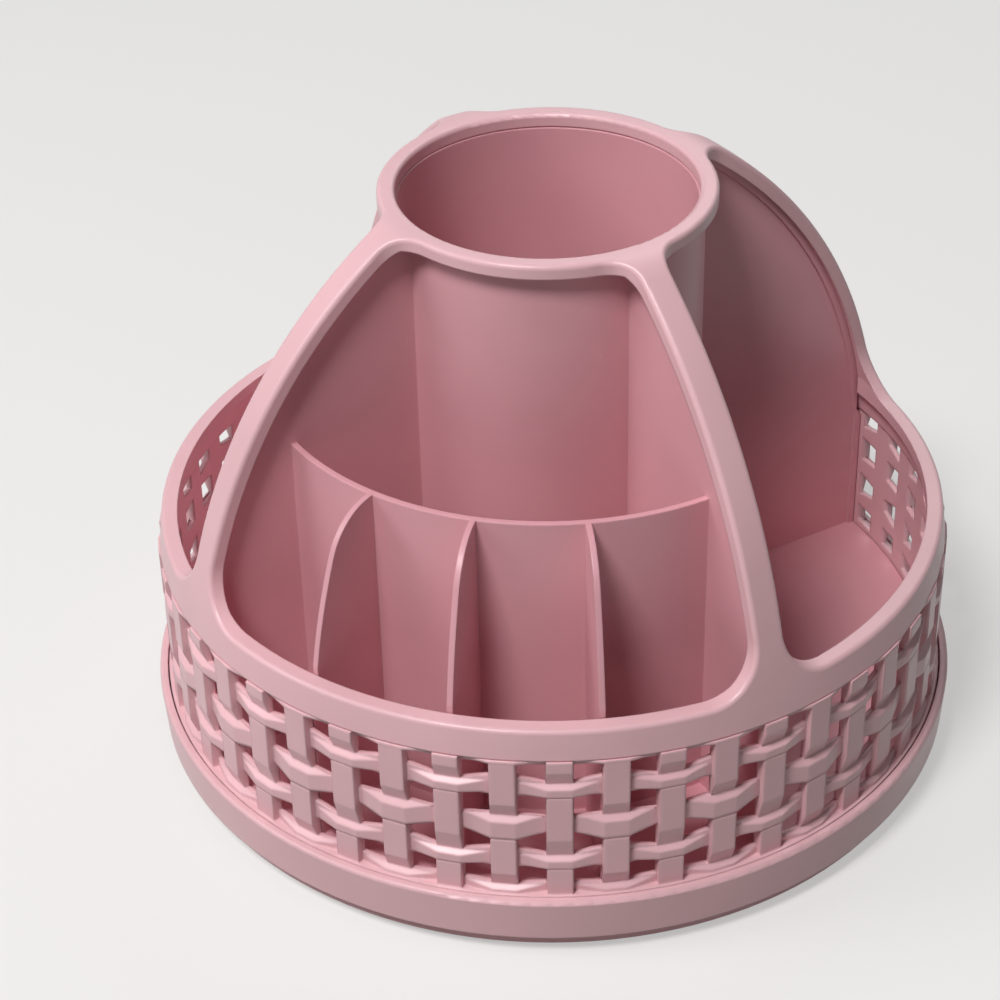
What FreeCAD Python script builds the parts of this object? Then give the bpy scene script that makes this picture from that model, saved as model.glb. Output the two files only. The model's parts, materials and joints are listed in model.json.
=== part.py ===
import FreeCAD, Part
import math
import os
import re
import Sketcher
from FreeCAD import Placement, Rotation, Vector

# Rotating makeup organizer: a domed carousel with a brush cup in the middle, standing on a turntable.
# The ground is z = 0, the turning axis is Z, and the front with the three dividers faces -Y.

doc = FreeCAD.newDocument("RotatingOrganizer")
sizes = doc.addObject("Spreadsheet::Sheet", "Sizes")
derived = doc.addObject("Spreadsheet::Sheet", "Derived")

SIZES = [
    ("overlap", 1.0, "how far a form runs into its neighbour, or a cut beyond its wall"),
    ("arm_turn", 45.0, "angle of the arms and radial walls from X and Y"),
    # feet and base
    ("foot_stand", 1.2, "height of the base above the ground"),
    ("foot_sink", 0.75, "how far a foot sits in its recess"),
    ("foot_radius", 7.0, "radius of a foot"),
    ("foot_circle", 92.0, "radius of the circle of feet"),
    ("foot_fit", 0.15, "radial gap round a foot"),
    ("foot_bevel", 0.4, "bevel of a foot's lower edge"),
    ("foot_count", 6, "number of feet"),
    ("plate_thickness", 2.2, "base plate thickness"),
    ("base_radius", 112.0, "base outer radius"),
    ("base_rim_width", 2.2, "width of the base's raised rim"),
    ("base_bevel", 1.0, "bevel of the base's lower edge"),
    ("base_rib_width", 1.6, "width of a rib on the base"),
    ("base_rib_height", 1.8, "height of a rib on the base"),
    ("base_rib_count", 6, "number of ribs on the base"),
    ("hub_radius", 12.0, "radius of the base's hub"),
    ("hub_height", 3.2, "height of the base's hub above the plate"),
    ("recess_radius", 10.0, "radius of the recess under the hub"),
    ("recess_depth", 3.2, "depth of the recess under the hub"),
    ("pivot_play", 0.08, "radial play of the stub in the hub"),
    # ball bearing
    ("ball_radius", 2.5, "radius of a ball"),
    ("ball_count", 8, "number of balls"),
    ("ball_play", 0.05, "play above and below a ball"),
    ("race_radius", 70.0, "radius of the ball circle"),
    ("race_fit", 0.1, "how much wider the race's section is than a ball"),
    ("base_race_depth", 0.5, "depth of the race in the base"),
    ("tray_race_depth", 0.4, "depth of the race in the tray"),
    ("cage_width", 12.0, "width of the cage"),
    ("cage_thickness", 1.8, "thickness of the cage"),
    ("cage_lift", 1.2, "height of the cage above the plate"),
    ("cage_fit", 0.1, "radial gap round a ball in the cage"),
    ("guide_gap", 0.5, "gap between the cage and its guide ribs"),
    ("guide_width", 1.2, "width of a guide rib"),
    ("guide_height", 2.8, "height of a guide rib"),
    # pivot
    ("stub_radius", 5.0, "radius of the tray's pivot stub"),
    ("washer_play", 0.1, "play between the washer and the hub"),
    ("washer_radius", 8.5, "washer radius"),
    ("washer_thickness", 0.8, "washer thickness"),
    ("screw_radius", 1.7, "pivot screw shank radius"),
    ("screw_play", 0.05, "radial play of the pivot screw in its holes"),
    ("screw_reach", 10.5, "pivot screw length above the washer's underside"),
    ("screw_head_radius", 4.2, "pivot screw head radius"),
    ("screw_head_height", 1.1, "pivot screw head height"),
    ("screw_head_flat", 3.1, "radius of the flat on the pivot screw's head"),
    ("screw_head_bevel", 0.5, "height of the bevel on that head"),
    ("screw_tip", 0.5, "radius of the pivot screw's tip"),
    ("pilot_spare", 0.5, "depth of a pilot hole beyond its screw"),
    ("cap_thickness", 0.7, "thickness of the cap under the pivot"),
    ("cap_fit", 0.1, "radial gap round the cap"),
    # tray
    ("turn_gap", 0.4, "gap between the base rim and the turning band"),
    ("tray_floor", 2.4, "tray floor thickness"),
    ("band_skirt", 1.6, "how far the band hangs below the tray floor"),
    ("band_height", 13.0, "band height"),
    ("band_radius", 115.0, "band outer radius"),
    ("band_draft", 0.7, "how much the band narrows to its lower edge"),
    ("band_wall", 2.3, "band wall thickness"),
    ("band_round", 1.1, "rounding of the band's top edge"),
    ("support_radius", 62.0, "outer radius of the tray's support ring"),
    ("support_wall", 1.6, "thickness of the support ring"),
    ("boss_radius", 8.0, "radius of the tray's hub boss"),
    ("boss_height", 6.5, "height of the tray's hub boss"),
    ("tray_rib_width", 1.6, "width of a rib on the tray"),
    ("tray_rib_gap", 0.5, "gap between a tray rib and the insert"),
    ("tray_rib_count", 6, "number of ribs on the tray"),
    ("tray_rib_reach", 1.5, "gap between a tray rib and the basket's flange"),
    # basket
    ("basket_lift", 7.4, "height of the insert above the tray floor"),
    ("ledge_gap", 0.4, "gap between the basket's ledge and the band"),
    ("ledge_drop", 0.2, "how far the ledge lies below the band's top"),
    ("ledge_height", 3.6, "height of the ledge"),
    ("flange_width", 9.2, "width of the basket's inner flange"),
    ("flange_thickness", 2.2, "thickness of the inner flange"),
    ("post_radius", 3.2, "radius of a screw post"),
    ("post_circle", 103.5, "radius of the circle of screw posts"),
    ("post_count", 6, "number of screw posts"),
    ("fixing_radius", 1.3, "basket screw shank radius"),
    ("fixing_play", 0.05, "radial play of a basket screw"),
    ("fixing_reach", 6.0, "basket screw length inside its post"),
    ("fixing_head_radius", 2.8, "basket screw head radius"),
    ("fixing_head_height", 1.2, "basket screw head height"),
    ("weave_inner", 108.2, "inner radius of the woven wall"),
    ("weave_wall", 1.5, "woven wall thickness in the hollows"),
    ("weave_relief", 1.6, "how far a raised strand stands out"),
    ("stake_pairs", 24, "number of pairs of upright stakes"),
    ("strand_pitch", 12.05, "height from one level strand to the next"),
    ("strand_height", 6.1, "height of a narrow strand where it passes under"),
    ("first_strand", 8.0, "height of the first whole strand above the ledge"),
    ("half_strand", 2.7, "height of the bottom half strand"),
    ("half_over", 1.9, "height of the bottom half strand where it passes over"),
    ("narrow_rise", 0.6, "lower edge of a narrow crossing above the strand's"),
    ("narrow_height", 4.3, "height of a narrow crossing's top above its strand's lower edge"),
    ("wide_fall", 1.75, "lower edge of a wide crossing below the strand's"),
    ("wide_height", 5.4, "height of the wide strand at a crossing, above its lower edge where it passes under"),
    ("wide_end", 4.9, "height of the wide strand where it passes under"),
    ("lip_height", 1.1, "height of the lip seen below the rim"),
    ("lip_arch", 0.5, "how much higher the lip's edge is at a stake that meets the rim"),
    ("lip_gap", 0.2, "gap between the weave and the rim's lower edge"),
    ("edge_inset", 0.4, "how much narrower a raised strand's face is than its stake"),
    ("stake_inset", 0.15, "how much narrower a stake's face is than its root"),
    ("raise_inset", 0.2, "how much narrower a raised piece's root is"),
    ("root_depth", 0.4, "how deep a raised strand roots in the wall"),
    ("bevel_height", 1.2, "height of the bevel on a narrow crossing"),
    ("crevice", 0.1, "half the shadow gap between a stake's end and the strand above it"),
    ("window_edge", 0.03, "distance of a window from the wall's corner lines"),
    ("window_clear", 3.0, "how far the window cut starts inside the wall and ends outside it"),
    ("wide_bevel", 1.6, "height of the bevel on a wide crossing"),
    ("ramp_height", 4.4, "height of the slope at a stake's lower end"),
    ("long_ramp", 6.0, "height of the slope on the long stakes"),
    ("ring_wall", 1.6, "thickness of the basket's top ring"),
    ("ring_gap", 0.15, "gap between the top ring and the frame's skirt"),
    ("ring_root", 2.2, "how far the top ring reaches below the skirt"),
    # domed frame
    ("dome_radius", 146.05, "radius of the dome's arc"),
    ("dome_offset", 34.33, "distance of the arc's centre behind the axis"),
    ("dome_height", 46.8, "height of the arc's centre"),
    ("rim_bottom", 63.2, "height of the rim's lower edge"),
    ("rim_top", 71.8, "height of the rim's flat top"),
    ("rim_plate", 3.7, "thickness of the rim's flange"),
    ("rim_inner", 105.2, "inner radius of the rim"),
    ("skirt_wall", 1.6, "thickness of the skirt below the rim"),
    ("total_height", 167.0, "overall height"),
    ("neck_inner", 40.0, "inner radius of the neck ring"),
    ("neck_width", 4.9, "width of the neck ring"),
    ("neck_depth", 3.9, "depth of the neck ring"),
    ("neck_round", 1.2, "rounding of the neck ring's edges"),
    ("shoulder", 15.0, "radius of the bend from the neck into an arm"),
    ("shell_depth", 3.9, "depth of an arm below the dome's surface"),
    ("arm_width", 8.6, "width of an arm"),
    ("arm_skin", 1.9, "thickness of an arm's outer skin"),
    ("arm_flange", 1.6, "thickness of an arm's side flange"),
    ("neck_corner", 9.5, "corner radius between the neck and an arm"),
    ("rim_corner", 14.0, "corner radius between an arm and the rim"),
    ("edge_round", 1.2, "rounding of the windows' outer edges"),
    ("arm_count", 4, "number of arms, and of radial walls"),
    ("window_reach", 135.0, "reach of the cut between two arms"),
    ("channel_roof", 0.3, "height of an arm channel's end inside the neck ring"),
    ("channel_start", 0.5, "gap between the neck ring and an arm's channel"),
    # insert
    ("insert_gap", 0.3, "gap between the insert and the basket"),
    ("insert_floor", 2.0, "insert floor thickness"),
    ("cup_inner", 39.7, "inner radius of the brush cup"),
    ("cup_wall", 1.8, "brush cup wall thickness"),
    ("cup_gap", 0.3, "gap between the brush cup and the neck ring"),
    ("web_wall", 2.0, "thickness of a radial wall"),
    ("web_dip", 2.5, "depth of a radial wall's edge below the dome's surface"),
    ("bead_width", 3.8, "width of the bead along a radial wall's edge"),
    ("bead_depth", 3.3, "depth of that bead"),
    ("bead_low", 2.1, "depth of that bead below the basket's ring"),
    ("web_drop", 0.4, "height of the cup's edge above the radial walls"),
    ("step_rise", 0.5, "height of the slanted step above the ring's lower edge"),
    ("web_rim_gap", 1.2, "gap between a radial wall and the basket's top ring"),
    ("slant", 2.5, "height of the slanted step in the walls' edges"),
    ("fence_radius", 79.3, "outer radius of the low curved wall"),
    ("fence_wall", 1.8, "thickness of the low curved wall"),
    ("fence_height", 93.7, "height of the low curved wall above the floor"),
    ("divider_wall", 1.6, "thickness of a front divider"),
    ("divider_angle", 21.0, "angle from one front divider to the next"),
    ("divider_dip", 4.2, "depth of a divider's edge below the dome's surface"),
    ("divider_corner", 16.0, "corner radius of a divider"),
    ("divider_gap", 0.3, "gap between a divider and the rim"),
    ("divider_inset", 0.1, "distance of a divider's outer edge inside the floor's edge"),
    ("side_dividers", 2, "front dividers counted from the middle one to one side"),
]

DERIVED = [
    # heights from the ground up
    ("plate_top", "Sizes.foot_stand + Sizes.plate_thickness"),
    ("hub_top", "plate_top + Sizes.hub_height"),
    ("hub_under", "Sizes.foot_stand + Sizes.recess_depth"),
    ("section", "Sizes.ball_radius + Sizes.race_fit"),
    ("base_race_z", "plate_top - Sizes.base_race_depth + section"),
    ("ball_z", "plate_top - Sizes.base_race_depth + Sizes.ball_play + Sizes.ball_radius"),
    ("tray_under", "ball_z + Sizes.ball_radius + Sizes.ball_play - Sizes.tray_race_depth"),
    ("tray_race_z", "tray_under + Sizes.tray_race_depth - section"),
    ("base_race_half", "sqrt(section^2 - (section - Sizes.base_race_depth)^2)"),
    ("tray_race_half", "sqrt(section^2 - (section - Sizes.tray_race_depth)^2)"),
    ("cage_bottom", "plate_top + Sizes.cage_lift"),
    ("band_bottom", "tray_under - Sizes.band_skirt"),
    ("band_top", "band_bottom + Sizes.band_height"),
    ("base_rim_top", "band_bottom - Sizes.turn_gap"),
    ("tray_top", "tray_under + Sizes.tray_floor"),
    ("stub_end", "hub_under - Sizes.washer_play"),
    ("insert_under", "tray_top + Sizes.basket_lift"),
    ("insert_top", "insert_under + Sizes.insert_floor"),
    ("ledge_top", "band_top - Sizes.ledge_drop"),
    ("ledge_radius", "Sizes.band_radius - Sizes.band_wall - Sizes.ledge_gap"),
    # weave
    ("weave_recess", "Sizes.weave_inner + Sizes.weave_wall"),
    ("weave_face", "weave_recess + Sizes.weave_relief"),
    ("weave_root", "weave_recess - Sizes.root_depth"),
    ("half_stake", "90 / (2 * Sizes.stake_pairs)"),
    ("stake_x", "weave_recess * sin(half_stake)"),
    ("next_x", "weave_recess * sin(3 * half_stake)"),
    ("face_x", "stake_x - Sizes.edge_inset"),
    ("root_x", "stake_x - Sizes.raise_inset / 2"),
    ("stake_face_x", "root_x - Sizes.stake_inset"),
    ("far_x", "next_x - Sizes.raise_inset"),
    ("strand_c", "ledge_top + Sizes.first_strand"),
    ("strand_b", "strand_c + Sizes.strand_pitch"),
    ("strand_a", "strand_b + Sizes.strand_pitch"),
    ("lip", "Sizes.rim_bottom - Sizes.lip_height"),
    ("weave_top", "Sizes.rim_bottom - Sizes.lip_gap"),
    # domed frame
    ("neck_outer", "Sizes.neck_inner + Sizes.neck_width"),
    ("neck_under", "Sizes.total_height - Sizes.neck_depth"),
    ("rim_under", "Sizes.rim_top - Sizes.rim_plate"),
    ("inner_radius", "Sizes.dome_radius - Sizes.shell_depth"),
    ("skirt_radius", "Sizes.dome_radius - Sizes.skirt_wall"),
    ("ring_outer", "skirt_radius - Sizes.ring_gap"),
    ("ring_inner", "ring_outer - Sizes.ring_wall"),
    ("cavity_half", "Sizes.arm_width / 2 - Sizes.arm_flange"),
    ("cavity_radius", "Sizes.dome_radius - Sizes.arm_skin"),
    # insert
    ("insert_radius", "Sizes.weave_inner - Sizes.insert_gap"),
    ("cup_outer", "Sizes.cup_inner + Sizes.cup_wall"),
    ("cup_top", "neck_under - Sizes.cup_gap"),
    ("web_radius", "Sizes.dome_radius - Sizes.web_dip"),
    ("bead_radius", "web_radius - Sizes.bead_depth"),
    ("divider_radius", "Sizes.dome_radius - Sizes.divider_dip"),
    ("ring_foot", "Sizes.rim_bottom - Sizes.ring_root"),
    ("fence_top", "insert_top + Sizes.fence_height"),
]

for row, (name, value, note) in enumerate(SIZES, 1):
    sizes.set(f"A{row}", note)
    sizes.set(f"B{row}", str(value))
    sizes.setAlias(f"B{row}", name)
doc.recompute()
for row, (name, formula) in enumerate(DERIVED, 1):
    derived.set(f"A{row}", "=" + formula)
    derived.setAlias(f"A{row}", name)
doc.recompute()

SHEET_OF = {name: "Sizes" for name, value, note in SIZES}
SHEET_OF.update({name: "Derived" for name, formula in DERIVED})


def bound(text):
    """The expression for a length written with the sheets' names."""
    def sheet_name(match):
        word = match.group(0)
        return f"{SHEET_OF[word]}.{word}" if word in SHEET_OF else word
    return re.sub(r"[a-z_]+", sheet_name, str(text))


def number(text):
    """The present value of such a length."""
    return float(sizes.evalExpression(bound(text)))


def bind(thing, prop, text):
    thing.setExpression(prop, bound(text))


def arc_x(radius, height):
    """Distance from the axis to a dome arc of this radius at this height."""
    return f"(sqrt(({radius})^2 - (({height}) - dome_height)^2) - dome_offset)"


def arc_z(radius, distance):
    """Height of a dome arc of this radius at this distance from the axis."""
    return f"(dome_height + sqrt(({radius})^2 - (({distance}) + dome_offset)^2))"


def origin(body, role):
    return next(item for item in body.Origin.OriginFeatures if item.Role == role)


def new_body(label):
    body = doc.addObject("PartDesign::Body", label)
    body.Label = label
    return body


def new_sketch(body, name, role="XZ_Plane", shift="", turn="", axis=Vector(0, 1, 0)):
    sketch = body.newObject("Sketcher::SketchObject", name)
    sketch.AttachmentSupport = [(origin(body, role), "")]
    sketch.MapMode = "FlatFace"
    if turn:
        sketch.AttachmentOffset = Placement(Vector(0, 0, 0), Rotation(axis, 10))
        bind(sketch, "AttachmentOffset.Rotation.Angle", turn)
    if shift:
        bind(sketch, "AttachmentOffset.Base.z", shift)
    return sketch


def lock(sketch, kind, geometry, point, text, name):
    """Holds a point's distance from the sketch's origin along X or Y at a named length."""
    index = sketch.addConstraint(Sketcher.Constraint("Distance" + kind, -1, 1, geometry, point, number(text)))
    sketch.renameConstraint(index, name + kind)
    bind(sketch, "Constraints." + name + kind, text)


def loop(sketch, corners, arcs=None, tag="p"):
    """A closed outline of lines and arcs. An arc is given for the corner it starts at: centre and radius."""
    arcs = arcs or {}
    count = len(corners)
    spots = [Vector(number(c[0]), number(c[1]), 0) for c in corners]
    first = sketch.GeometryCount
    starts = []
    ends = []
    for i in range(count):
        a = spots[i]
        b = spots[(i + 1) % count]
        if i not in arcs:
            sketch.addGeometry(Part.LineSegment(a, b))
            starts.append(1)
            ends.append(2)
            continue
        cx, cy, radius = arcs[i]
        middle = Vector(number(cx), number(cy), 0)
        begin = math.atan2(a.y - middle.y, a.x - middle.x)
        finish = math.atan2(b.y - middle.y, b.x - middle.x)
        forward = (finish - begin) % (2 * math.pi) < math.pi
        low, high = (begin, finish) if forward else (finish, begin)
        circle = Part.Circle(middle, Vector(0, 0, 1), number(radius))
        sketch.addGeometry(Part.ArcOfCircle(circle, low, high))
        starts.append(1 if forward else 2)
        ends.append(2 if forward else 1)
    for i in range(count):
        previous = (i - 1) % count
        here = first + i
        before = first + previous
        curved = [k for k in (previous, i) if k in arcs]
        name = f"{tag}{i}"
        kind = corners[i][2] if len(corners[i]) > 2 else "Y"
        if len(curved) < 2:
            sketch.addConstraint(Sketcher.Constraint("Coincident", before, ends[previous], here, starts[i]))
        if not curved:
            lock(sketch, "X", here, starts[i], corners[i][0], name)
            lock(sketch, "Y", here, starts[i], corners[i][1], name)
        elif len(curved) == 1:
            end = (here, starts[i]) if curved[0] == i else (before, ends[previous])
            lock(sketch, kind, end[0], end[1], corners[i][0 if kind == "X" else 1], name)
        else:
            lock(sketch, kind, before, ends[previous], corners[i][0 if kind == "X" else 1], name + "end")
            lock(sketch, kind, here, starts[i], corners[i][0 if kind == "X" else 1], name)
        if i in arcs:
            cx, cy, radius = arcs[i]
            lock(sketch, "X", here, 3, cx, name + "centre")
            lock(sketch, "Y", here, 3, cy, name + "centre")
            index = sketch.addConstraint(Sketcher.Constraint("Radius", here, number(radius)))
            sketch.renameConstraint(index, name + "radius")
            bind(sketch, "Constraints." + name + "radius", radius)


def ring(sketch, cx, cy, radius, tag="c"):
    """A full circle."""
    circle = Part.Circle(Vector(number(cx), number(cy), 0), Vector(0, 0, 1), number(radius))
    here = sketch.addGeometry(circle)
    lock(sketch, "X", here, 3, cx, tag)
    lock(sketch, "Y", here, 3, cy, tag)
    index = sketch.addConstraint(Sketcher.Constraint("Radius", here, number(radius)))
    sketch.renameConstraint(index, tag + "radius")
    bind(sketch, "Constraints." + tag + "radius", radius)


def box(x0, x1, y0, y1):
    return [(x0, y0), (x1, y0), (x1, y1), (x0, y1)]


def spin(body, sketch, name, kind="Revolution"):
    feature = body.newObject("PartDesign::" + kind, name)
    feature.Profile = sketch
    feature.ReferenceAxis = (origin(body, "Z_Axis"), [""])
    feature.Angle = 360
    feature.Refine = False
    return feature


def pull(body, sketch, name, length, kind="Pad", both=False, back=False):
    feature = body.newObject("PartDesign::" + kind, name)
    feature.Profile = sketch
    bind(feature, "Length", length)
    feature.Reversed = back
    if both:
        feature.SideType = "Symmetric"
    feature.Refine = False
    return feature


def around(body, features, name, count, angle="", back=False, whole=False):
    """Repeats features round the turning axis."""
    pattern = body.newObject("PartDesign::PolarPattern", name)
    if whole:
        pattern.TransformMode = "Whole shape"
    else:
        pattern.Originals = features
    pattern.Axis = (origin(body, "Z_Axis"), [""])
    pattern.Angle = 360
    if angle:
        bind(pattern, "Angle", angle)
    pattern.Reversed = back
    bind(pattern, "Occurrences", count)
    pattern.Refine = False
    body.Tip = pattern
    return pattern


def build_base_disc():
    """The fixed disc: rim, hub, lower ball race, guide ribs for the cage and recesses for the feet."""
    body = new_body("base_disc")
    inner_guide = "(race_radius - cage_width / 2 - guide_gap)"
    outer_guide = "(race_radius + cage_width / 2 + guide_gap)"
    guide_top = "(plate_top + guide_height)"
    outline = [
        ("stub_radius + pivot_play", "hub_under"),
        ("stub_radius + pivot_play", "hub_top"),
        ("hub_radius", "hub_top"),
        ("hub_radius", "plate_top"),
        (inner_guide + " - guide_width", "plate_top"),
        (inner_guide + " - guide_width", guide_top),
        (inner_guide, guide_top),
        (inner_guide, "plate_top"),
        ("race_radius - base_race_half", "plate_top"),
        ("race_radius + base_race_half", "plate_top"),
        (outer_guide, "plate_top"),
        (outer_guide, guide_top),
        (outer_guide + " + guide_width", guide_top),
        (outer_guide + " + guide_width", "plate_top"),
        ("base_radius - base_rim_width", "plate_top"),
        ("base_radius - base_rim_width", "base_rim_top"),
        ("base_radius", "base_rim_top"),
        ("base_radius", "foot_stand + base_bevel"),
        ("base_radius - base_bevel", "foot_stand"),
        ("recess_radius", "foot_stand"),
        ("recess_radius", "hub_under"),
    ]
    arcs = {8: ("race_radius", "base_race_z", "section")}
    outline[8] = outline[8] + ("X",)
    outline[9] = outline[9] + ("X",)
    sketch = new_sketch(body, "BaseSection")
    loop(sketch, outline, arcs)
    spin(body, sketch, "BaseTurned")
    recess = new_sketch(body, "FootRecess", "XY_Plane", shift="foot_stand")
    ring(recess, "foot_circle", "0", "foot_radius + foot_fit")
    pocket = pull(body, recess, "FootRecessCut", "foot_sink", "Pocket", back=True)
    around(body, [pocket], "FootRecesses", "foot_count")
    ribs = new_sketch(body, "BaseRibPlan", "XY_Plane", shift="plate_top - plate_thickness / 4")
    half = "base_rib_width / 2"
    loop(ribs, box("hub_radius - overlap", inner_guide + " - guide_width / 2", "0 - " + half, half), tag="in")
    loop(ribs, box(outer_guide + " + guide_width / 2", "base_radius - base_rim_width / 2",
                   "0 - " + half, half), tag="out")
    rib = pull(body, ribs, "BaseRib", "base_rib_height + plate_thickness / 4")
    around(body, [rib], "BaseRibs", "base_rib_count")
    return body


def build_bearing():
    """The cage and its balls."""
    cage = new_body("ball_cage")
    plan = new_sketch(cage, "CagePlan", "XY_Plane", shift="cage_bottom")
    ring(plan, "0", "0", "race_radius - cage_width / 2", "a")
    ring(plan, "0", "0", "race_radius + cage_width / 2", "b")
    pull(cage, plan, "CageRing", "cage_thickness")
    hole = new_sketch(cage, "BallHole", "XY_Plane", shift="cage_bottom")
    ring(hole, "race_radius", "0", "ball_radius + cage_fit")
    pocket = pull(cage, hole, "BallHoleCut", "cage_thickness", "Pocket", back=True)
    around(cage, [pocket], "BallHoles", "ball_count")
    balls = new_body("bearing_balls")
    balls.AllowCompound = True
    ball = balls.newObject("PartDesign::AdditiveSphere", "Ball")
    ball.AttachmentSupport = [(origin(balls, "XY_Plane"), "")]
    ball.MapMode = "FlatFace"
    bind(ball, "Radius", "ball_radius")
    bind(ball, "AttachmentOffset.Base.x", "race_radius")
    bind(ball, "AttachmentOffset.Base.z", "ball_z")
    around(balls, [ball], "Balls", "ball_count")
    return [cage, balls]


def build_pivot():
    """The screw, washer and cap that hold the tray on the base."""
    washer = new_body("pivot_washer")
    plan = new_sketch(washer, "WasherPlan", "XY_Plane", shift="stub_end - washer_thickness")
    ring(plan, "0", "0", "washer_radius", "a")
    ring(plan, "0", "0", "screw_radius + screw_play", "b")
    pull(washer, plan, "WasherRing", "washer_thickness")
    screw = new_body("pivot_screw")
    seat = "(stub_end - washer_thickness)"
    section = new_sketch(screw, "ScrewSection")
    loop(section, [
        ("0", seat + " - screw_head_height"),
        ("screw_head_flat", seat + " - screw_head_height"),
        ("screw_head_radius", seat + " - screw_head_height + screw_head_bevel"),
        ("screw_head_radius", seat),
        ("screw_radius", seat),
        ("screw_radius", seat + " + screw_reach - screw_radius"),
        ("screw_tip", seat + " + screw_reach"),
        ("0", seat + " + screw_reach"),
    ])
    spin(screw, section, "ScrewTurned")
    cap = new_body("pivot_cap")
    plan = new_sketch(cap, "CapPlan", "XY_Plane", shift="foot_stand")
    ring(plan, "0", "0", "recess_radius - cap_fit")
    pull(cap, plan, "CapDisc", "cap_thickness")
    return [washer, screw, cap]


def build_feet():
    body = new_body("rubber_feet")
    body.AllowCompound = True
    section = new_sketch(body, "FootPlan", "XY_Plane")
    ring(section, "foot_circle", "0", "foot_radius")
    foot = pull(body, section, "Foot", "foot_stand + foot_sink")
    doc.recompute()
    lower = [f"Edge{i}" for i, edge in enumerate(foot.Shape.Edges, 1) if abs(edge.BoundBox.ZMax) < 1e-6]
    bevel = body.newObject("PartDesign::Chamfer", "FootBevel")
    bevel.Base = (foot, lower)
    bind(bevel, "Size", "foot_bevel")
    doc.recompute()
    around(body, [], "Feet", "foot_count", whole=True)
    return body


def build_tray():
    """The turning tray: band, floor, upper ball race, pivot stub, support ring and ribs."""
    body = new_body("turntable_tray")
    pilot = "screw_radius + screw_play"
    boss_top = "(tray_top + boss_height)"
    pilot_top = "(stub_end - washer_thickness + screw_reach + pilot_spare)"
    inner = "(band_radius - band_wall)"
    outline = [
        (pilot, "stub_end"),
        ("stub_radius", "stub_end"),
        ("stub_radius", "tray_under"),
        ("race_radius - tray_race_half", "tray_under", "X"),
        ("race_radius + tray_race_half", "tray_under", "X"),
        (inner, "tray_under"),
        (inner, "band_bottom"),
        ("band_radius - band_draft", "band_bottom"),
        ("band_radius", "band_top - band_round"),
        ("band_radius - band_round", "band_top", "X"),
        (inner, "band_top"),
        (inner, "tray_top"),
        ("support_radius", "tray_top"),
        ("support_radius", "insert_under"),
        ("support_radius - support_wall", "insert_under"),
        ("support_radius - support_wall", "tray_top"),
        ("boss_radius", "tray_top"),
        ("boss_radius", boss_top),
        ("0", boss_top),
        ("0", pilot_top),
        (pilot, pilot_top),
    ]
    arcs = {
        3: ("race_radius", "tray_race_z", "section"),
        8: ("band_radius - band_round", "band_top - band_round", "band_round"),
    }
    section = new_sketch(body, "TraySection")
    loop(section, outline, arcs)
    spin(body, section, "TrayTurned")
    half = "tray_rib_width / 2"
    ribs = new_sketch(body, "TrayRibPlan", "XY_Plane", shift="tray_top - tray_floor / 4",
                      turn="180 / post_count", axis=Vector(0, 0, 1))
    loop(ribs, box("support_radius - support_wall / 2", "weave_inner - flange_width - tray_rib_reach",
                   "0 - " + half, half), tag="out")
    loop(ribs, box("boss_radius - overlap", "support_radius - support_wall / 2", "0 - " + half, half), tag="in")
    rib = pull(body, ribs, "TrayRib", "basket_lift - tray_rib_gap + tray_floor / 4")
    around(body, [rib], "TrayRibs", "tray_rib_count")
    hole = new_sketch(body, "FixingHole", "XY_Plane", shift="tray_under")
    ring(hole, "post_circle", "0", "fixing_radius + fixing_play")
    cut = pull(body, hole, "FixingHoleCut", "tray_floor", "Pocket", back=True)
    around(body, [cut], "FixingHoles", "post_count")
    return body


def build_fixings():
    """The screws up through the tray into the basket's posts."""
    body = new_body("basket_screws")
    body.AllowCompound = True
    head = new_sketch(body, "HeadPlan", "XY_Plane", shift="tray_under - fixing_head_height")
    ring(head, "post_circle", "0", "fixing_head_radius")
    pull(body, head, "Head", "fixing_head_height")
    shank = new_sketch(body, "ShankPlan", "XY_Plane", shift="tray_under - fixing_head_height / 2")
    ring(shank, "post_circle", "0", "fixing_radius")
    pull(body, shank, "Shank", "fixing_head_height / 2 + tray_floor + fixing_reach")
    around(body, [], "Fixings", "post_count", whole=True)
    return body


def at_angle(radius, steps):
    """A point of the woven wall's plan, so many half stakes round from the front."""
    return (f"({radius}) * sin({steps} * half_stake)", f"0 - ({radius}) * cos({steps} * half_stake)")


def raised(body, name, steps, face, root, face_x, root_x):
    """A raised piece of strand or stake: its outer face and its root in the wall, each from low to high."""
    wedge = body.newObject("PartDesign::AdditiveWedge", name)
    wedge.AttachmentSupport = [(origin(body, "XY_Plane"), "")]
    wedge.MapMode = "FlatFace"
    if steps:
        wedge.AttachmentOffset = Placement(Vector(0, 0, 0), Rotation(Vector(0, 0, 1), 10))
        bind(wedge, "AttachmentOffset.Rotation.Angle", f"{steps} * half_stake")
    values = {
        "Xmin": f"0 - ({face_x})", "Xmax": face_x, "Zmin": face[0], "Zmax": face[1],
        "X2min": f"0 - ({root_x})", "X2max": root_x, "Z2min": root[0], "Z2max": root[1],
        "Ymin": "0 - weave_face", "Ymax": "0 - weave_root",
    }
    for prop in ("Ymin", "Ymax", "Xmin", "Xmax", "Zmin", "Zmax", "X2min", "X2max", "Z2min", "Z2max"):
        setattr(wedge, prop, number(values[prop]))
        bind(wedge, prop, values[prop])
    wedge.Refine = False
    return wedge


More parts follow.
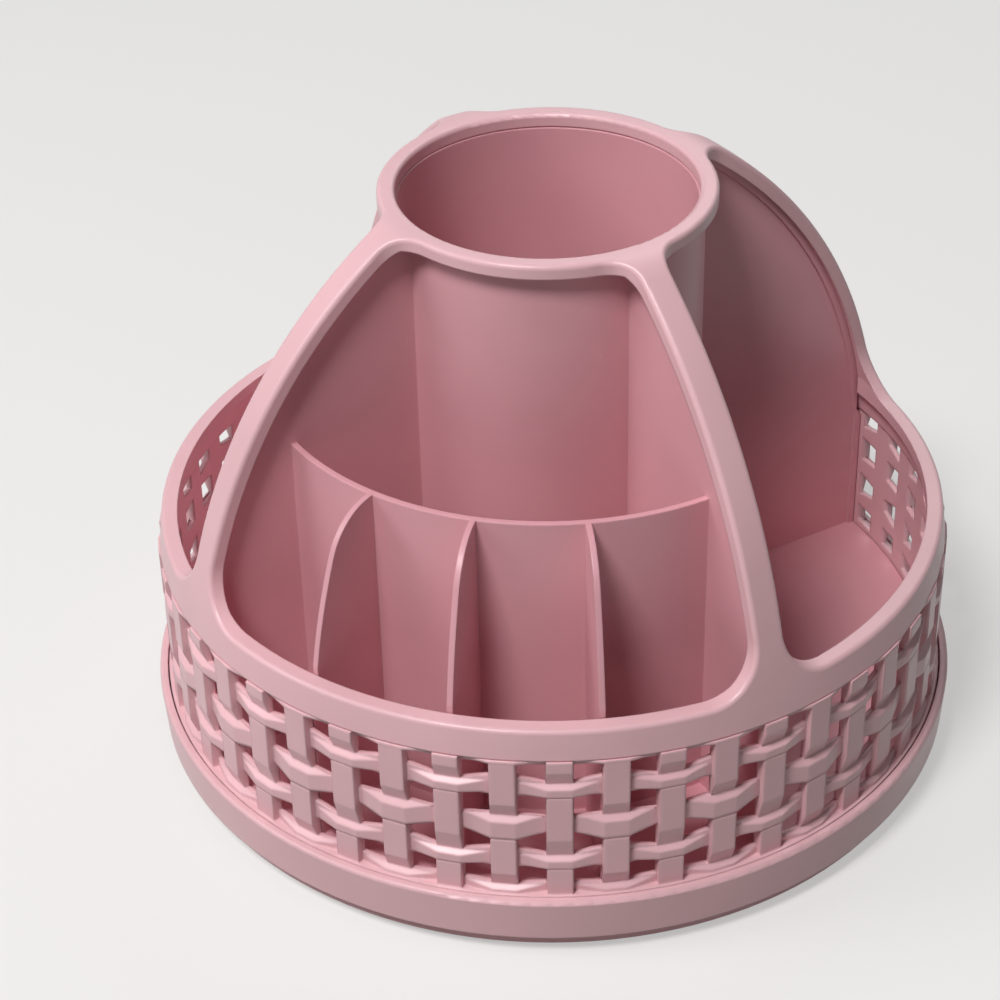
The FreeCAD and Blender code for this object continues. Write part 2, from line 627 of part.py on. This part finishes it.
def build_basket():
    """The woven wall is one moulding. One repeat holds two stakes, A and B, and the level strands, which pass
    over B and A in turn, with windows between; it is repeated round the axis."""
    body = new_body("BasketWeave")
    wall = new_sketch(body, "WallPlan", "XY_Plane", shift="ledge_top - ledge_height / 2")
    outer = [at_angle("weave_recess", k) for k in (-3, -1, 1, 3, 5)]
    inner = [at_angle("weave_inner", k) for k in (5, 3, 1, -1, -3)]
    loop(wall, outer + inner)
    pull(body, wall, "Wall", "weave_top - ledge_top + ledge_height / 2")
    windows = new_sketch(body, "Windows", "XZ_Plane", shift="weave_inner - window_clear")
    near = "(stake_x - window_edge)"
    far = "(next_x + window_edge)"
    openings = [
        # low and high at stake B, then low and high at stake A
        ("strand_a + narrow_height", "lip + lip_arch", "strand_a + strand_height", "lip"),
        ("strand_b + wide_end", "strand_a + narrow_rise", "strand_b + wide_height", "strand_a"),
        ("strand_c + narrow_height", "strand_b", "strand_c + strand_height", "strand_b - wide_fall"),
        ("ledge_top + half_strand", "strand_c + narrow_rise", "ledge_top + half_over", "strand_c"),
    ]
    for side, mark in (("", "r"), ("0 - ", "l")):
        for k, (b_low, b_high, a_low, a_high) in enumerate(openings):
            corners = [(side + near, b_low), (side + far, a_low), (side + far, a_high), (side + near, b_high)]
            loop(windows, corners, tag=f"{mark}{'abcd'[k]}")
    pull(body, windows, "WindowCut", "weave_wall + 2 * window_clear", "Pocket", back=True)
    ramp = "(weave_face - weave_root) / weave_relief"
    stakes = [
        # name, half stakes round, where it goes under below, where it meets the face, top
        ("StakeBTop", 0, "strand_a + narrow_height", "ramp_height", "weave_top"),
        ("StakeBMiddle", 0, "strand_c + narrow_height", "long_ramp", "strand_a + narrow_rise - crevice"),
        ("StakeBLow", 0, "ledge_top - overlap", "0", "strand_c + narrow_rise - crevice"),
        ("StakeATop", 4, "strand_b + wide_height", "ramp_height", "lip"),
        ("StakeALow", 4, "ledge_top + half_over", "ramp_height", "strand_b - wide_fall - crevice"),
    ]
    for name, steps, low, rise, high in stakes:
        face = (f"{low} + {rise}", high)
        root = (f"{low} + {rise} - ({rise}) * {ramp}", high)
        raised(body, name, steps, face, root, "stake_face_x", "root_x")
    strands = [
        # name, half stakes round, lower edge, top edge, bevel
        ("StrandA", 0, "strand_a + narrow_rise + crevice", "strand_a + narrow_height", "bevel_height"),
        ("StrandB", 4, "strand_b - wide_fall + crevice", "strand_b + wide_height", "wide_bevel"),
        ("StrandC", 0, "strand_c + narrow_rise + crevice", "strand_c + narrow_height", "bevel_height"),
        ("StrandD", 4, "ledge_top - overlap", "ledge_top + half_over", "bevel_height"),
    ]
    for name, steps, low, high, bevel in strands:
        face = (low, f"{high} - {bevel}")
        root = (low, f"{high} - {bevel} + ({bevel}) * {ramp} - crevice")
        if name == "StrandB":
            root = ("strand_b - crevice", root[1])
        raised(body, name, steps, face, root, "face_x", "far_x")
    edge = ("lip + crevice / 2", "weave_top")
    raised(body, "Lip", 4, edge, edge, "face_x", "far_x")
    doc.recompute()
    around(body, [], "Weave", "stake_pairs", whole=True)
    rings = new_body("BasketRings")
    ledge = new_sketch(rings, "LedgeSection")
    loop(ledge, [
        ("weave_inner - flange_width", "insert_under - flange_thickness"),
        ("weave_inner", "insert_under - flange_thickness"),
        ("ledge_radius", "ledge_top - ledge_height"),
        ("ledge_radius", "ledge_top"),
        ("weave_inner", "ledge_top"),
        ("weave_inner", "insert_under"),
        ("weave_inner - flange_width", "insert_under"),
    ])
    spin(rings, ledge, "Ledge")
    post = new_sketch(rings, "PostPlan", "XY_Plane", shift="tray_top")
    ring(post, "post_circle", "0", "post_radius")
    post_pad = pull(rings, post, "Post", "basket_lift - flange_thickness / 2")
    around(rings, [post_pad], "Posts", "post_count")
    pilot = new_sketch(rings, "PilotPlan", "XY_Plane", shift="tray_top")
    ring(pilot, "post_circle", "0", "fixing_radius + fixing_play")
    pilot_cut = pull(rings, pilot, "Pilot", "fixing_reach + pilot_spare", "Pocket", back=True)
    around(rings, [pilot_cut], "Pilots", "post_count")
    lip = new_body("BasketTopRing")
    top_ring = new_sketch(lip, "TopRingSection")
    loop(top_ring, [
        (arc_x("ring_inner", "ring_foot"), "ring_foot"),
        (arc_x("ring_outer", "ring_foot"), "ring_foot"),
        (arc_x("ring_outer", "rim_under"), "rim_under"),
        (arc_x("ring_inner", "rim_under"), "rim_under"),
    ])
    spin(lip, top_ring, "TopRing")
    basket = doc.addObject("Part::MultiFuse", "woven_basket")
    basket.Label = "woven_basket"
    basket.Shapes = [body, rings, lip]
    basket.Refine = False
    return basket


def bend(top, radius, arc):
    """Centre distance of a bend of this radius, tangent inside a level top and a dome arc."""
    return f"(sqrt(({arc} - {radius})^2 - ({top} - {radius} - dome_height)^2) - dome_offset)"


def rim_edges(shape):
    """Numbers of the long edges where the rim's flat top meets the dome. The rounding runs on from them
    along the arms and the neck, all round each window."""
    found = []
    for index, edge in enumerate(shape.Edges, 1):
        points = edge.discretize(5)
        level = all(abs(point.z - number("rim_top")) < 0.01 for point in points)
        outside = all(math.hypot(point.x, point.y) > number("rim_inner + overlap") for point in points)
        if level and outside and edge.Length > number("arm_width"):
            found.append(index)
    return found


def build_frame():
    """The domed cap: neck ring, four channelled arms and a flanged rim. It is modelled with its arms on X and Y
    and turned into place."""
    shell = new_body("FrameShell")
    centre = bend("total_height", "shoulder", "dome_radius")
    share = "dome_radius / (dome_radius - shoulder)"
    bend_z = f"dome_height + (total_height - shoulder - dome_height) * {share}"
    outline = [
        ("neck_inner", "neck_under"),
        ("neck_inner", "total_height - neck_round"),
        ("neck_inner + neck_round", "total_height", "X"),
        (centre, "total_height", "X"),
        (arc_x("dome_radius", bend_z), bend_z),
        (arc_x("dome_radius", "rim_bottom"), "rim_bottom"),
        (arc_x("skirt_radius", "rim_bottom"), "rim_bottom"),
        (arc_x("skirt_radius", "rim_under"), "rim_under"),
        ("rim_inner", "rim_under"),
        ("rim_inner", arc_z("inner_radius", "rim_inner"), "X"),
        (arc_x("inner_radius", "neck_under"), "neck_under"),
    ]
    arcs = {
        1: ("neck_inner + neck_round", "total_height - neck_round", "neck_round"),
        3: (centre, "total_height - shoulder", "shoulder"),
        4: ("0 - dome_offset", "dome_height", "dome_radius"),
        6: ("0 - dome_offset", "dome_height", "skirt_radius"),
        9: ("0 - dome_offset", "dome_height", "inner_radius"),
    }
    section = new_sketch(shell, "ShellSection")
    loop(section, outline, arcs)
    spin(shell, section, "ShellTurned")

    window = new_body("FrameWindow")
    reach = "(neck_outer + neck_corner)"
    side = "(arm_width / 2)"
    along = f"sqrt({reach}^2 - ({side} + neck_corner)^2)"
    ratio = f"neck_outer / {reach}"
    far = "window_reach"
    plan = new_sketch(window, "WindowPlan", "XY_Plane", shift="rim_top")
    loop(plan, [
        (f"{along} * {ratio}", f"({side} + neck_corner) * {ratio}"),
        (along, side, "X"),
        (far, side),
        (far, far),
        (side, far),
        (side, along),
        (f"({side} + neck_corner) * {ratio}", f"{along} * {ratio}", "X"),
    ], {
        0: (along, f"{side} + neck_corner", "neck_corner"),
        5: (f"{side} + neck_corner", along, "neck_corner"),
        6: ("0", "0", "neck_outer"),
    })
    pull(window, plan, "WindowPrism", "total_height")
    corner = new_sketch(window, "RimCorner", "YZ_Plane")
    loop(corner, [
        (side + " - overlap", "rim_top - overlap"),
        (side + " + rim_corner", "rim_top - overlap"),
        (side + " + rim_corner", "rim_top", "X"),
        (side, "rim_top + rim_corner"),
        (side + " - overlap", "rim_top + rim_corner"),
    ], {2: (side + " + rim_corner", "rim_top + rim_corner", "rim_corner")})
    pull(window, corner, "RimCornerCut", far, "Pocket", back=True)
    other = new_sketch(window, "OtherRimCorner", "XZ_Plane")
    loop(other, [
        (side + " - overlap", "rim_top - overlap"),
        (side + " + rim_corner", "rim_top - overlap"),
        (side + " + rim_corner", "rim_top", "X"),
        (side, "rim_top + rim_corner"),
        (side + " - overlap", "rim_top + rim_corner"),
    ], {2: (side + " + rim_corner", "rim_top + rim_corner", "rim_corner")})
    pull(window, other, "OtherRimCornerCut", far, "Pocket")
    doc.recompute()
    window.AllowCompound = True
    around(window, [], "Windows", "arm_count", whole=True)
    channel = new_body("FrameChannel")
    channel.AllowCompound = True
    profile = new_sketch(channel, "ChannelSection")
    ceiling = "(neck_under + channel_roof)"
    start = "(neck_outer + channel_start)"
    low = "(rim_under - overlap * 2)"
    loop(profile, [
        (start, low),
        (arc_x("cavity_radius", low), low),
        (arc_x("cavity_radius", ceiling), ceiling),
        (start, ceiling),
    ], {1: ("0 - dome_offset", "dome_height", "cavity_radius")})
    pull(channel, profile, "ChannelCut", "cavity_half * 2", both=True)
    doc.recompute()
    around(channel, [], "Channels", "arm_count", whole=True)
    opened = doc.addObject("Part::Cut", "FrameOpened")
    opened.Base = shell
    opened.Tool = window
    channelled = doc.addObject("Part::Cut", "FrameChannelled")
    channelled.Base = opened
    channelled.Tool = channel
    doc.recompute()
    frame = doc.addObject("Part::Fillet", "top_frame")
    frame.Label = "top_frame"
    frame.Base = channelled
    frame.Edges = [(index, number("edge_round"), number("edge_round")) for index in rim_edges(channelled.Shape)]
    doc.recompute()
    frame.Placement = Placement(Vector(0, 0, 0), Rotation(Vector(0, 0, 1), number("arm_turn")))
    return frame


def build_insert():
    """The inner moulding: floor, brush cup, four radial walls with a bead along the edge, the low curved wall
    and the front dividers. The radial walls lie on X and Y, and the body is turned into place."""
    body = new_body("compartment_insert")
    floor = new_sketch(body, "FloorPlan", "XY_Plane", shift="insert_under")
    ring(floor, "0", "0", "insert_radius")
    pull(body, floor, "Floor", "insert_floor")
    low = "(insert_top - insert_floor / 2)"
    root = "(cup_inner + cup_wall / 2)"
    cup = new_sketch(body, "CupPlan", "XY_Plane", shift=low)
    ring(cup, "0", "0", "cup_inner", "a")
    ring(cup, "0", "0", "cup_outer", "b")
    pull(body, cup, "Cup", "cup_top - insert_top + insert_floor / 2")
    ring_face = "(" + arc_x("ring_inner", "rim_bottom") + " - web_rim_gap)"
    step_top = "(ring_foot + step_rise)"
    step_low = "(ring_foot + step_rise - slant)"
    web_top = "(cup_top - web_drop)"
    web = new_sketch(body, "WebSection")
    loop(web, [
        (root, low),
        ("insert_radius", low),
        ("insert_radius", step_low),
        (ring_face, step_top),
        (ring_face, arc_z("web_radius", ring_face), "X"),
        (arc_x("web_radius", web_top), web_top),
        (root, web_top),
    ], {4: ("0 - dome_offset", "dome_height", "web_radius")})
    web_pad = pull(body, web, "Web", "web_wall", both=True)
    bead = new_sketch(body, "BeadSection")
    inner_low = "(insert_radius - bead_low)"
    inner_face = "(" + arc_x("bead_radius", "rim_top") + ")"
    loop(bead, [
        (inner_low, low),
        ("insert_radius", low),
        ("insert_radius", step_low),
        (ring_face, step_top),
        (ring_face, arc_z("web_radius", ring_face), "X"),
        (arc_x("web_radius", web_top), web_top),
        (arc_x("web_radius", web_top) + " - bead_depth", web_top),
        (arc_x("bead_radius", web_top + " - bead_depth"), web_top + " - bead_depth"),
        (inner_face, "rim_top"),
        (inner_low, step_low),
    ], {
        4: ("0 - dome_offset", "dome_height", "web_radius"),
        7: ("0 - dome_offset", "dome_height", "bead_radius"),
    })
    bead_pad = pull(body, bead, "Bead", "bead_width", both=True)
    around(body, [web_pad, bead_pad], "Webs", "arm_count")
    fence = new_sketch(body, "FenceSection", turn="0 - 90 - arm_turn")
    loop(fence, box("fence_radius - fence_wall", "fence_radius", low, "fence_top"))
    fence_turn = spin(body, fence, "Fence")
    bind(fence_turn, "Angle", "360 / arm_count")
    fence_turn.Midplane = True
    divider = new_sketch(body, "DividerSection", turn="0 - 90 - arm_turn")
    under = "(rim_inner - divider_gap)"
    corner = bend("fence_top", "divider_corner", "divider_radius")
    share = "divider_radius / (divider_radius - divider_corner)"
    corner_z = f"dome_height + (fence_top - divider_corner - dome_height) * {share}"
    loop(divider, [
        ("fence_radius - fence_wall / 2", low),
        ("insert_radius - divider_inset", low),
        ("insert_radius - divider_inset", step_low),
        (under, step_top),
        (under, arc_z("divider_radius", under), "X"),
        (arc_x("divider_radius", corner_z), corner_z),
        (corner, "fence_top", "X"),
        ("fence_radius - fence_wall / 2", "fence_top"),
    ], {
        4: ("0 - dome_offset", "dome_height", "divider_radius"),
        5: (corner, "fence_top - divider_corner", "divider_corner"),
    })
    divider_pad = pull(body, divider, "Divider", "divider_wall", both=True)
    around(body, [divider_pad], "DividersRight", "side_dividers", angle="divider_angle")
    around(body, [divider_pad], "DividersLeft", "side_dividers", angle="divider_angle", back=True)
    doc.recompute()
    body.Placement = Placement(Vector(0, 0, 0), Rotation(Vector(0, 0, 1), number("arm_turn")))
    return body


parts = [build_base_disc()]
parts += build_bearing()
parts += build_pivot()
parts += [build_feet(), build_tray(), build_fixings(), build_basket(), build_frame(), build_insert()]
doc.recompute()

for item in doc.Objects:
    broken = [word for word in item.State if word in ("Invalid", "Error")]
    if broken:
        raise RuntimeError(f"{item.Name} did not recompute: {item.State} {item.getStatusString()}")
for part in parts:
    if part.Shape.isNull() or not part.Shape.isValid() or part.Shape.Volume <= 0:
        raise RuntimeError(f"{part.Label} has no valid solid")

os.makedirs("parts", exist_ok=True)
for part in parts:
    part.Shape.exportStep(f"parts/{part.Label}.step")
    solids = len(part.Shape.Solids)
    print(f"{part.Label}: {solids} solids, {len(part.Shape.Faces)} faces, {part.Shape.Volume:.1f} mm3")
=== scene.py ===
import json
import math

import bpy
from mathutils import Matrix, Vector

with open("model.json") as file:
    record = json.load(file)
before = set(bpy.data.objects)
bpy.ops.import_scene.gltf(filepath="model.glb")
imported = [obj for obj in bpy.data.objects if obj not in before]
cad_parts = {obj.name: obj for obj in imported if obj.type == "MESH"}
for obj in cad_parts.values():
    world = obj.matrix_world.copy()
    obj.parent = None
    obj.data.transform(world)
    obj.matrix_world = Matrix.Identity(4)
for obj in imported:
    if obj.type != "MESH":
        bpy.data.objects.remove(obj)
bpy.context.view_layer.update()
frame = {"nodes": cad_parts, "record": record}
nodes = frame["nodes"]


# Colours, in linear light

# The frame's pink is paler than the plastic is: painted sheen, for a bright room's reflection on its outer
# faces.
FRAME_PINK_WITH_PAINTED_SHEEN = (0.81, 0.50, 0.54)
# The insert's pink is a deeper copy of the same plastic: painted shade, for its hollows.
INSERT_PINK_WITH_PAINTED_SHADE = (0.74, 0.375, 0.425)
BASE_PINK = (0.76, 0.44, 0.48)
NATURAL_WHITE = (0.75, 0.73, 0.66)
BALL_GREY = (0.62, 0.62, 0.62)
SCREW_GREY = (0.50, 0.50, 0.49)
RUBBER_DARK = (0.018, 0.018, 0.020)
RUBBER_LIGHT = (0.035, 0.035, 0.038)
DUST = (0.80, 0.66, 0.64)
FLOOR_SEEN = (0.42, 0.418, 0.41)
FLOOR_BOUNCE = (0.34, 0.335, 0.32)
SKY = (1.0, 0.995, 0.985)
WARM = (1.0, 0.99, 0.985)
COOL = (0.99, 0.995, 1.0)

# How pale the floor and the world look to the camera and in reflections, and how much light the world gives

FLOOR_GLOW = 0.46
WORLD_SEEN = 0.62
WORLD_LIGHT = 0.07

# Where a colour ramp leaves its first colour and reaches its last one

RAMP_ENDS = (0.35, 0.65)

# Shares of a plastic's own colour at its darkest and its lightest

SHADE_LOW = 0.95
SHADE_HIGH = 1.03

# Dust specks: cells in a metre, the radii inside which a speck is full and outside which it is gone, the
# share of cells that have one, and how far it covers the pink

DUST_SCALE = 260.0
DUST_CORE = 0.055
DUST_EDGE = 0.085
DUST_SHARE = 0.20
DUST_STRENGTH = 0.35

# Rounded edges, in metres: the first two by shading, and the insert's as real bevels

EDGE = 0.0006
WEAVE_EDGE = 0.0010
INSERT_EDGE = 0.0005
SHARP_ANGLE = math.radians(35)
WELD_REACH = 0.000002


# Nodes: each helper adds one and joins it up.

def new_material(name):
    material = bpy.data.materials.new(name)
    material.use_nodes = True
    tree = material.node_tree
    return material, tree, tree.nodes["Principled BSDF"]


def add(tree, kind, **values):
    """A new node, with each value put on the input or the setting of that name."""
    node = tree.nodes.new(kind)
    for key, value in values.items():
        if key in node.inputs:
            node.inputs[key].default_value = value
        else:
            setattr(node, key, value)
    return node


def place(tree):
    """The object's own coordinates, made once in each tree."""
    node = tree.nodes.get("Place") or add(tree, "ShaderNodeTexCoord")
    node.name = "Place"
    return node.outputs["Object"]


def noise(tree, scale, detail=2.0):
    texture = add(tree, "ShaderNodeTexNoise", Scale=scale, Detail=detail)
    tree.links.new(place(tree), texture.inputs["Vector"])
    return texture.outputs["Fac"]


def ramp(tree, value, low, high):
    node = add(tree, "ShaderNodeValToRGB")
    for element, position, colour in zip(node.color_ramp.elements, RAMP_ENDS, (low, high)):
        element.position = position
        element.color = (*colour, 1)
    tree.links.new(value, node.inputs["Fac"])
    return node.outputs["Color"]


def spread(tree, value, low, high, first=0.0, last=1.0):
    """Maps a value that runs from first to last onto the range from low to high."""
    node = add(tree, "ShaderNodeMapRange")
    for name, limit in (("From Min", first), ("From Max", last), ("To Min", low), ("To Max", high)):
        node.inputs[name].default_value = limit
    tree.links.new(value, node.inputs["Value"])
    return node.outputs["Result"]


def maths(tree, operation, *values, clamp=False):
    """Each value is a socket or a number."""
    node = add(tree, "ShaderNodeMath", operation=operation, use_clamp=clamp)
    for socket, value in zip(node.inputs, values):
        if isinstance(value, (int, float)):
            socket.default_value = value
        else:
            tree.links.new(value, socket)
    return node.outputs["Value"]


def mixed(tree, factor, first, second):
    """A blend of two colours, each a socket or three numbers."""
    node = add(tree, "ShaderNodeMix", data_type="RGBA")
    sockets = {(socket.name, socket.type): socket for socket in node.inputs}
    tree.links.new(factor, sockets["Factor", "VALUE"])
    for name, colour in (("A", first), ("B", second)):
        if isinstance(colour, tuple):
            sockets[name, "RGBA"].default_value = (*colour, 1)
        else:
            tree.links.new(colour, sockets[name, "RGBA"])
    return next(socket for socket in node.outputs if socket.type == "RGBA")


def bump(tree, shader, value, distance, strength, edge=0.0):
    relief = add(tree, "ShaderNodeBump", Strength=strength, Distance=distance)
    if edge:
        rounded = add(tree, "ShaderNodeBevel", Radius=edge, samples=6)
        tree.links.new(rounded.outputs["Normal"], relief.inputs["Normal"])
    tree.links.new(value, relief.inputs["Height"])
    tree.links.new(relief.outputs["Normal"], shader.inputs["Normal"])


# Materials: every one is built from nodes, at the object's own scale.

def dusted(tree, colour):
    """The colour with a faint speck in some cells of a fine pattern."""
    cells = add(tree, "ShaderNodeTexVoronoi", Scale=DUST_SCALE, feature="F1")
    tree.links.new(place(tree), cells.inputs["Vector"])
    near = spread(tree, cells.outputs["Distance"], low=1.0, high=0.0, first=DUST_CORE, last=DUST_EDGE)
    some = maths(tree, "GREATER_THAN", cells.outputs["Color"], 1.0 - DUST_SHARE)
    speck = maths(tree, "MULTIPLY", near, some)
    return mixed(tree, maths(tree, "MULTIPLY", speck, DUST_STRENGTH), colour, DUST)


def moulded_plastic(name, colour, roughness=0.33, specks=True, edge=EDGE):
    """Satin moulded plastic: slow shade changes, a fine skin texture and a few dust specks."""
    material, tree, shader = new_material(name)
    low = tuple(c * SHADE_LOW for c in colour)
    high = tuple(c * SHADE_HIGH for c in colour)
    shade = ramp(tree, noise(tree, scale=18.0, detail=3.0), low, high)
    if specks:
        shade = dusted(tree, shade)
    tree.links.new(shade, shader.inputs["Base Color"])
    rough = spread(tree, noise(tree, scale=90.0, detail=4.0), low=roughness - 0.05, high=roughness + 0.06)
    tree.links.new(rough, shader.inputs["Roughness"])
    bump(tree, shader, noise(tree, scale=900.0), distance=0.00003, strength=0.5, edge=edge)
    shader.inputs["Specular IOR Level"].default_value = 0.45
    return material


def steel(name, colour, roughness):
    material, tree, shader = new_material(name)
    darker = tuple(c * 0.85 for c in colour)
    tree.links.new(ramp(tree, noise(tree, scale=200.0), darker, colour), shader.inputs["Base Color"])
    shader.inputs["Metallic"].default_value = 1.0
    rough = spread(tree, noise(tree, scale=600.0), low=roughness, high=roughness + 0.12)
    tree.links.new(rough, shader.inputs["Roughness"])
    bump(tree, shader, noise(tree, scale=1500.0), distance=0.00001, strength=0.4)
    return material


def rubber(name):
    material, tree, shader = new_material(name)
    shade = ramp(tree, noise(tree, scale=300.0), RUBBER_DARK, RUBBER_LIGHT)
    tree.links.new(shade, shader.inputs["Base Color"])
    rough = spread(tree, noise(tree, scale=800.0), low=0.65, high=0.85)
    tree.links.new(rough, shader.inputs["Roughness"])
    bump(tree, shader, noise(tree, scale=2000.0), distance=0.00004, strength=0.6)
    return material


materials = {
    # Frame, basket and tray: the paler pink, with painted sheen.
    "frame_plastic": moulded_plastic("frame_pink_painted_sheen", FRAME_PINK_WITH_PAINTED_SHEEN),
    "basket_plastic": moulded_plastic("basket_pink_painted_sheen", FRAME_PINK_WITH_PAINTED_SHEEN, edge=WEAVE_EDGE),
    # The insert: the deeper pink, with painted shade.
    "insert_plastic": moulded_plastic("insert_pink_painted_shade", INSERT_PINK_WITH_PAINTED_SHADE, roughness=0.38),
    "tray_plastic": moulded_plastic("tray_pink_painted_sheen", FRAME_PINK_WITH_PAINTED_SHEEN),
    "base_plastic": moulded_plastic("base_pink", BASE_PINK, roughness=0.5, specks=False),
    "cage_plastic": moulded_plastic("cage_white", NATURAL_WHITE, roughness=0.5, specks=False),
    "ball_steel": steel("ball_steel", BALL_GREY, roughness=0.12),
    "screw_steel": steel("screw_steel", SCREW_GREY, roughness=0.28),
    "foot_rubber": rubber("foot_rubber"),
}
slot_of = {row["node"]: row["material_slot"] for row in frame["record"]["subparts"]}
for name, node in nodes.items():
    for slot in node.material_slots:
        slot.material = materials[slot_of[name]]


# The thin walls of the insert get bevelled edges, which catch the light.

insert = nodes["compartment_insert"]
weld = insert.modifiers.new("Weld", "WELD")
weld.merge_threshold = WELD_REACH
bevel = insert.modifiers.new("Edges", "BEVEL")
bevel.width = INSERT_EDGE
bevel.segments = 2
bevel.limit_method = "ANGLE"
bevel.angle_limit = SHARP_ANGLE
normals = insert.modifiers.new("Normals", "WEIGHTED_NORMAL")
normals.weight = 80
normals.keep_sharp = True


# Floor and world: pale to the camera and in reflections, with only a room's light on the object

def seen_or_reflected(tree):
    """One for rays from the camera, reflections and clear things, and nought for light on the object."""
    path = add(tree, "ShaderNodeLightPath").outputs
    seen = maths(tree, "ADD", path["Is Camera Ray"], path["Is Glossy Ray"], clamp=True)
    return maths(tree, "ADD", seen, path["Is Transmission Ray"], clamp=True)


def pale_floor(name):
    """A floor that looks pale and throws back as little light as a carpet."""
    material, tree, shader = new_material(name)
    darker = tuple(c * 0.99 for c in FLOOR_SEEN)
    shade = ramp(tree, noise(tree, scale=3.0), darker, FLOOR_SEEN)
    seen = seen_or_reflected(tree)
    tree.links.new(mixed(tree, seen, FLOOR_BOUNCE, shade), shader.inputs["Base Color"])
    tree.links.new(maths(tree, "MULTIPLY", seen, FLOOR_GLOW), shader.inputs["Emission Strength"])
    shader.inputs["Emission Color"].default_value = (*SKY, 1)
    shader.inputs["Roughness"].default_value = 0.9
    shader.inputs["Specular IOR Level"].default_value = 0.1
    return material


bpy.ops.mesh.primitive_plane_add(size=6.0, location=(0, 0, 0))
floor = bpy.context.object
floor.name = "floor"
floor.data.materials.append(pale_floor("floor_pale"))

world = bpy.data.worlds.new("soft_room")
bpy.context.scene.world = world
world.use_nodes = True
room = world.node_tree
sky = room.nodes["Background"]
sky.inputs["Color"].default_value = (*SKY, 1)
level = maths(room, "MULTIPLY_ADD", seen_or_reflected(room), WORLD_SEEN - WORLD_LIGHT, WORLD_LIGHT)
room.links.new(level, sky.inputs["Strength"])


# Camera: where the photograph was taken from, in the object's frame.

TURN = math.radians(15.28)
PITCH = math.radians(34.702)
ROLL = math.radians(-1.408)
YAW = math.radians(-0.379)
CAMERA_SPOT = Vector((-0.01051, -0.59896, 0.48090))
SENSOR_WIDTH = 36.0
LENS = 92.40

forward = Vector((math.sin(YAW) * math.cos(PITCH), math.cos(YAW) * math.cos(PITCH), -math.sin(PITCH)))
level_right = Vector((math.cos(YAW), -math.sin(YAW), 0.0))
level_up = level_right.cross(forward)
right = math.cos(ROLL) * level_right + math.sin(ROLL) * level_up
up = -math.sin(ROLL) * level_right + math.cos(ROLL) * level_up
turned = Matrix.Rotation(TURN, 3, "Z")
spot, forward, right, up = (turned @ v for v in (CAMERA_SPOT, forward, right, up))

camera_data = bpy.data.cameras.new("camera")
camera_data.sensor_width = SENSOR_WIDTH
camera_data.lens = LENS
camera = bpy.data.objects.new("camera", camera_data)
bpy.context.collection.objects.link(camera)
camera.matrix_world = Matrix((
    (right.x, up.x, -forward.x, spot.x),
    (right.y, up.y, -forward.y, spot.y),
    (right.z, up.z, -forward.z, spot.z),
    (0, 0, 0, 1),
))
bpy.context.scene.camera = camera
bpy.context.scene.view_settings.view_transform = "Standard"


# Lamps: soft discs that face the middle of the object.

MIDDLE = Vector((0, 0, 0.08))


def from_camera(side, back, height):
    """A place given as seen from the camera: right, away from it, and up."""
    away = Vector((forward.x, forward.y, 0)).normalized()
    across = Vector((right.x, right.y, 0)).normalized()
    return across * side + away * back + Vector((0, 0, height))


def lamp(name, where, size, power, colour):
    data = bpy.data.lights.new(name, "AREA")
    data.shape = "DISK"
    data.size = size
    data.energy = power
    data.color = colour
    item = bpy.data.objects.new(name, data)
    bpy.context.collection.objects.link(item)
    item.location = where
    item.rotation_euler = (MIDDLE - where).to_track_quat("-Z", "Y").to_euler()


lamp("key", from_camera(side=-0.51, back=-0.81, height=1.61), size=0.5, power=23.0, colour=WARM)
lamp("side", from_camera(side=-1.40, back=-0.20, height=1.19), size=0.8, power=9.0, colour=WARM)
lamp("fill", from_camera(side=0.49, back=1.33, height=1.19), size=1.0, power=4.0, colour=COOL)
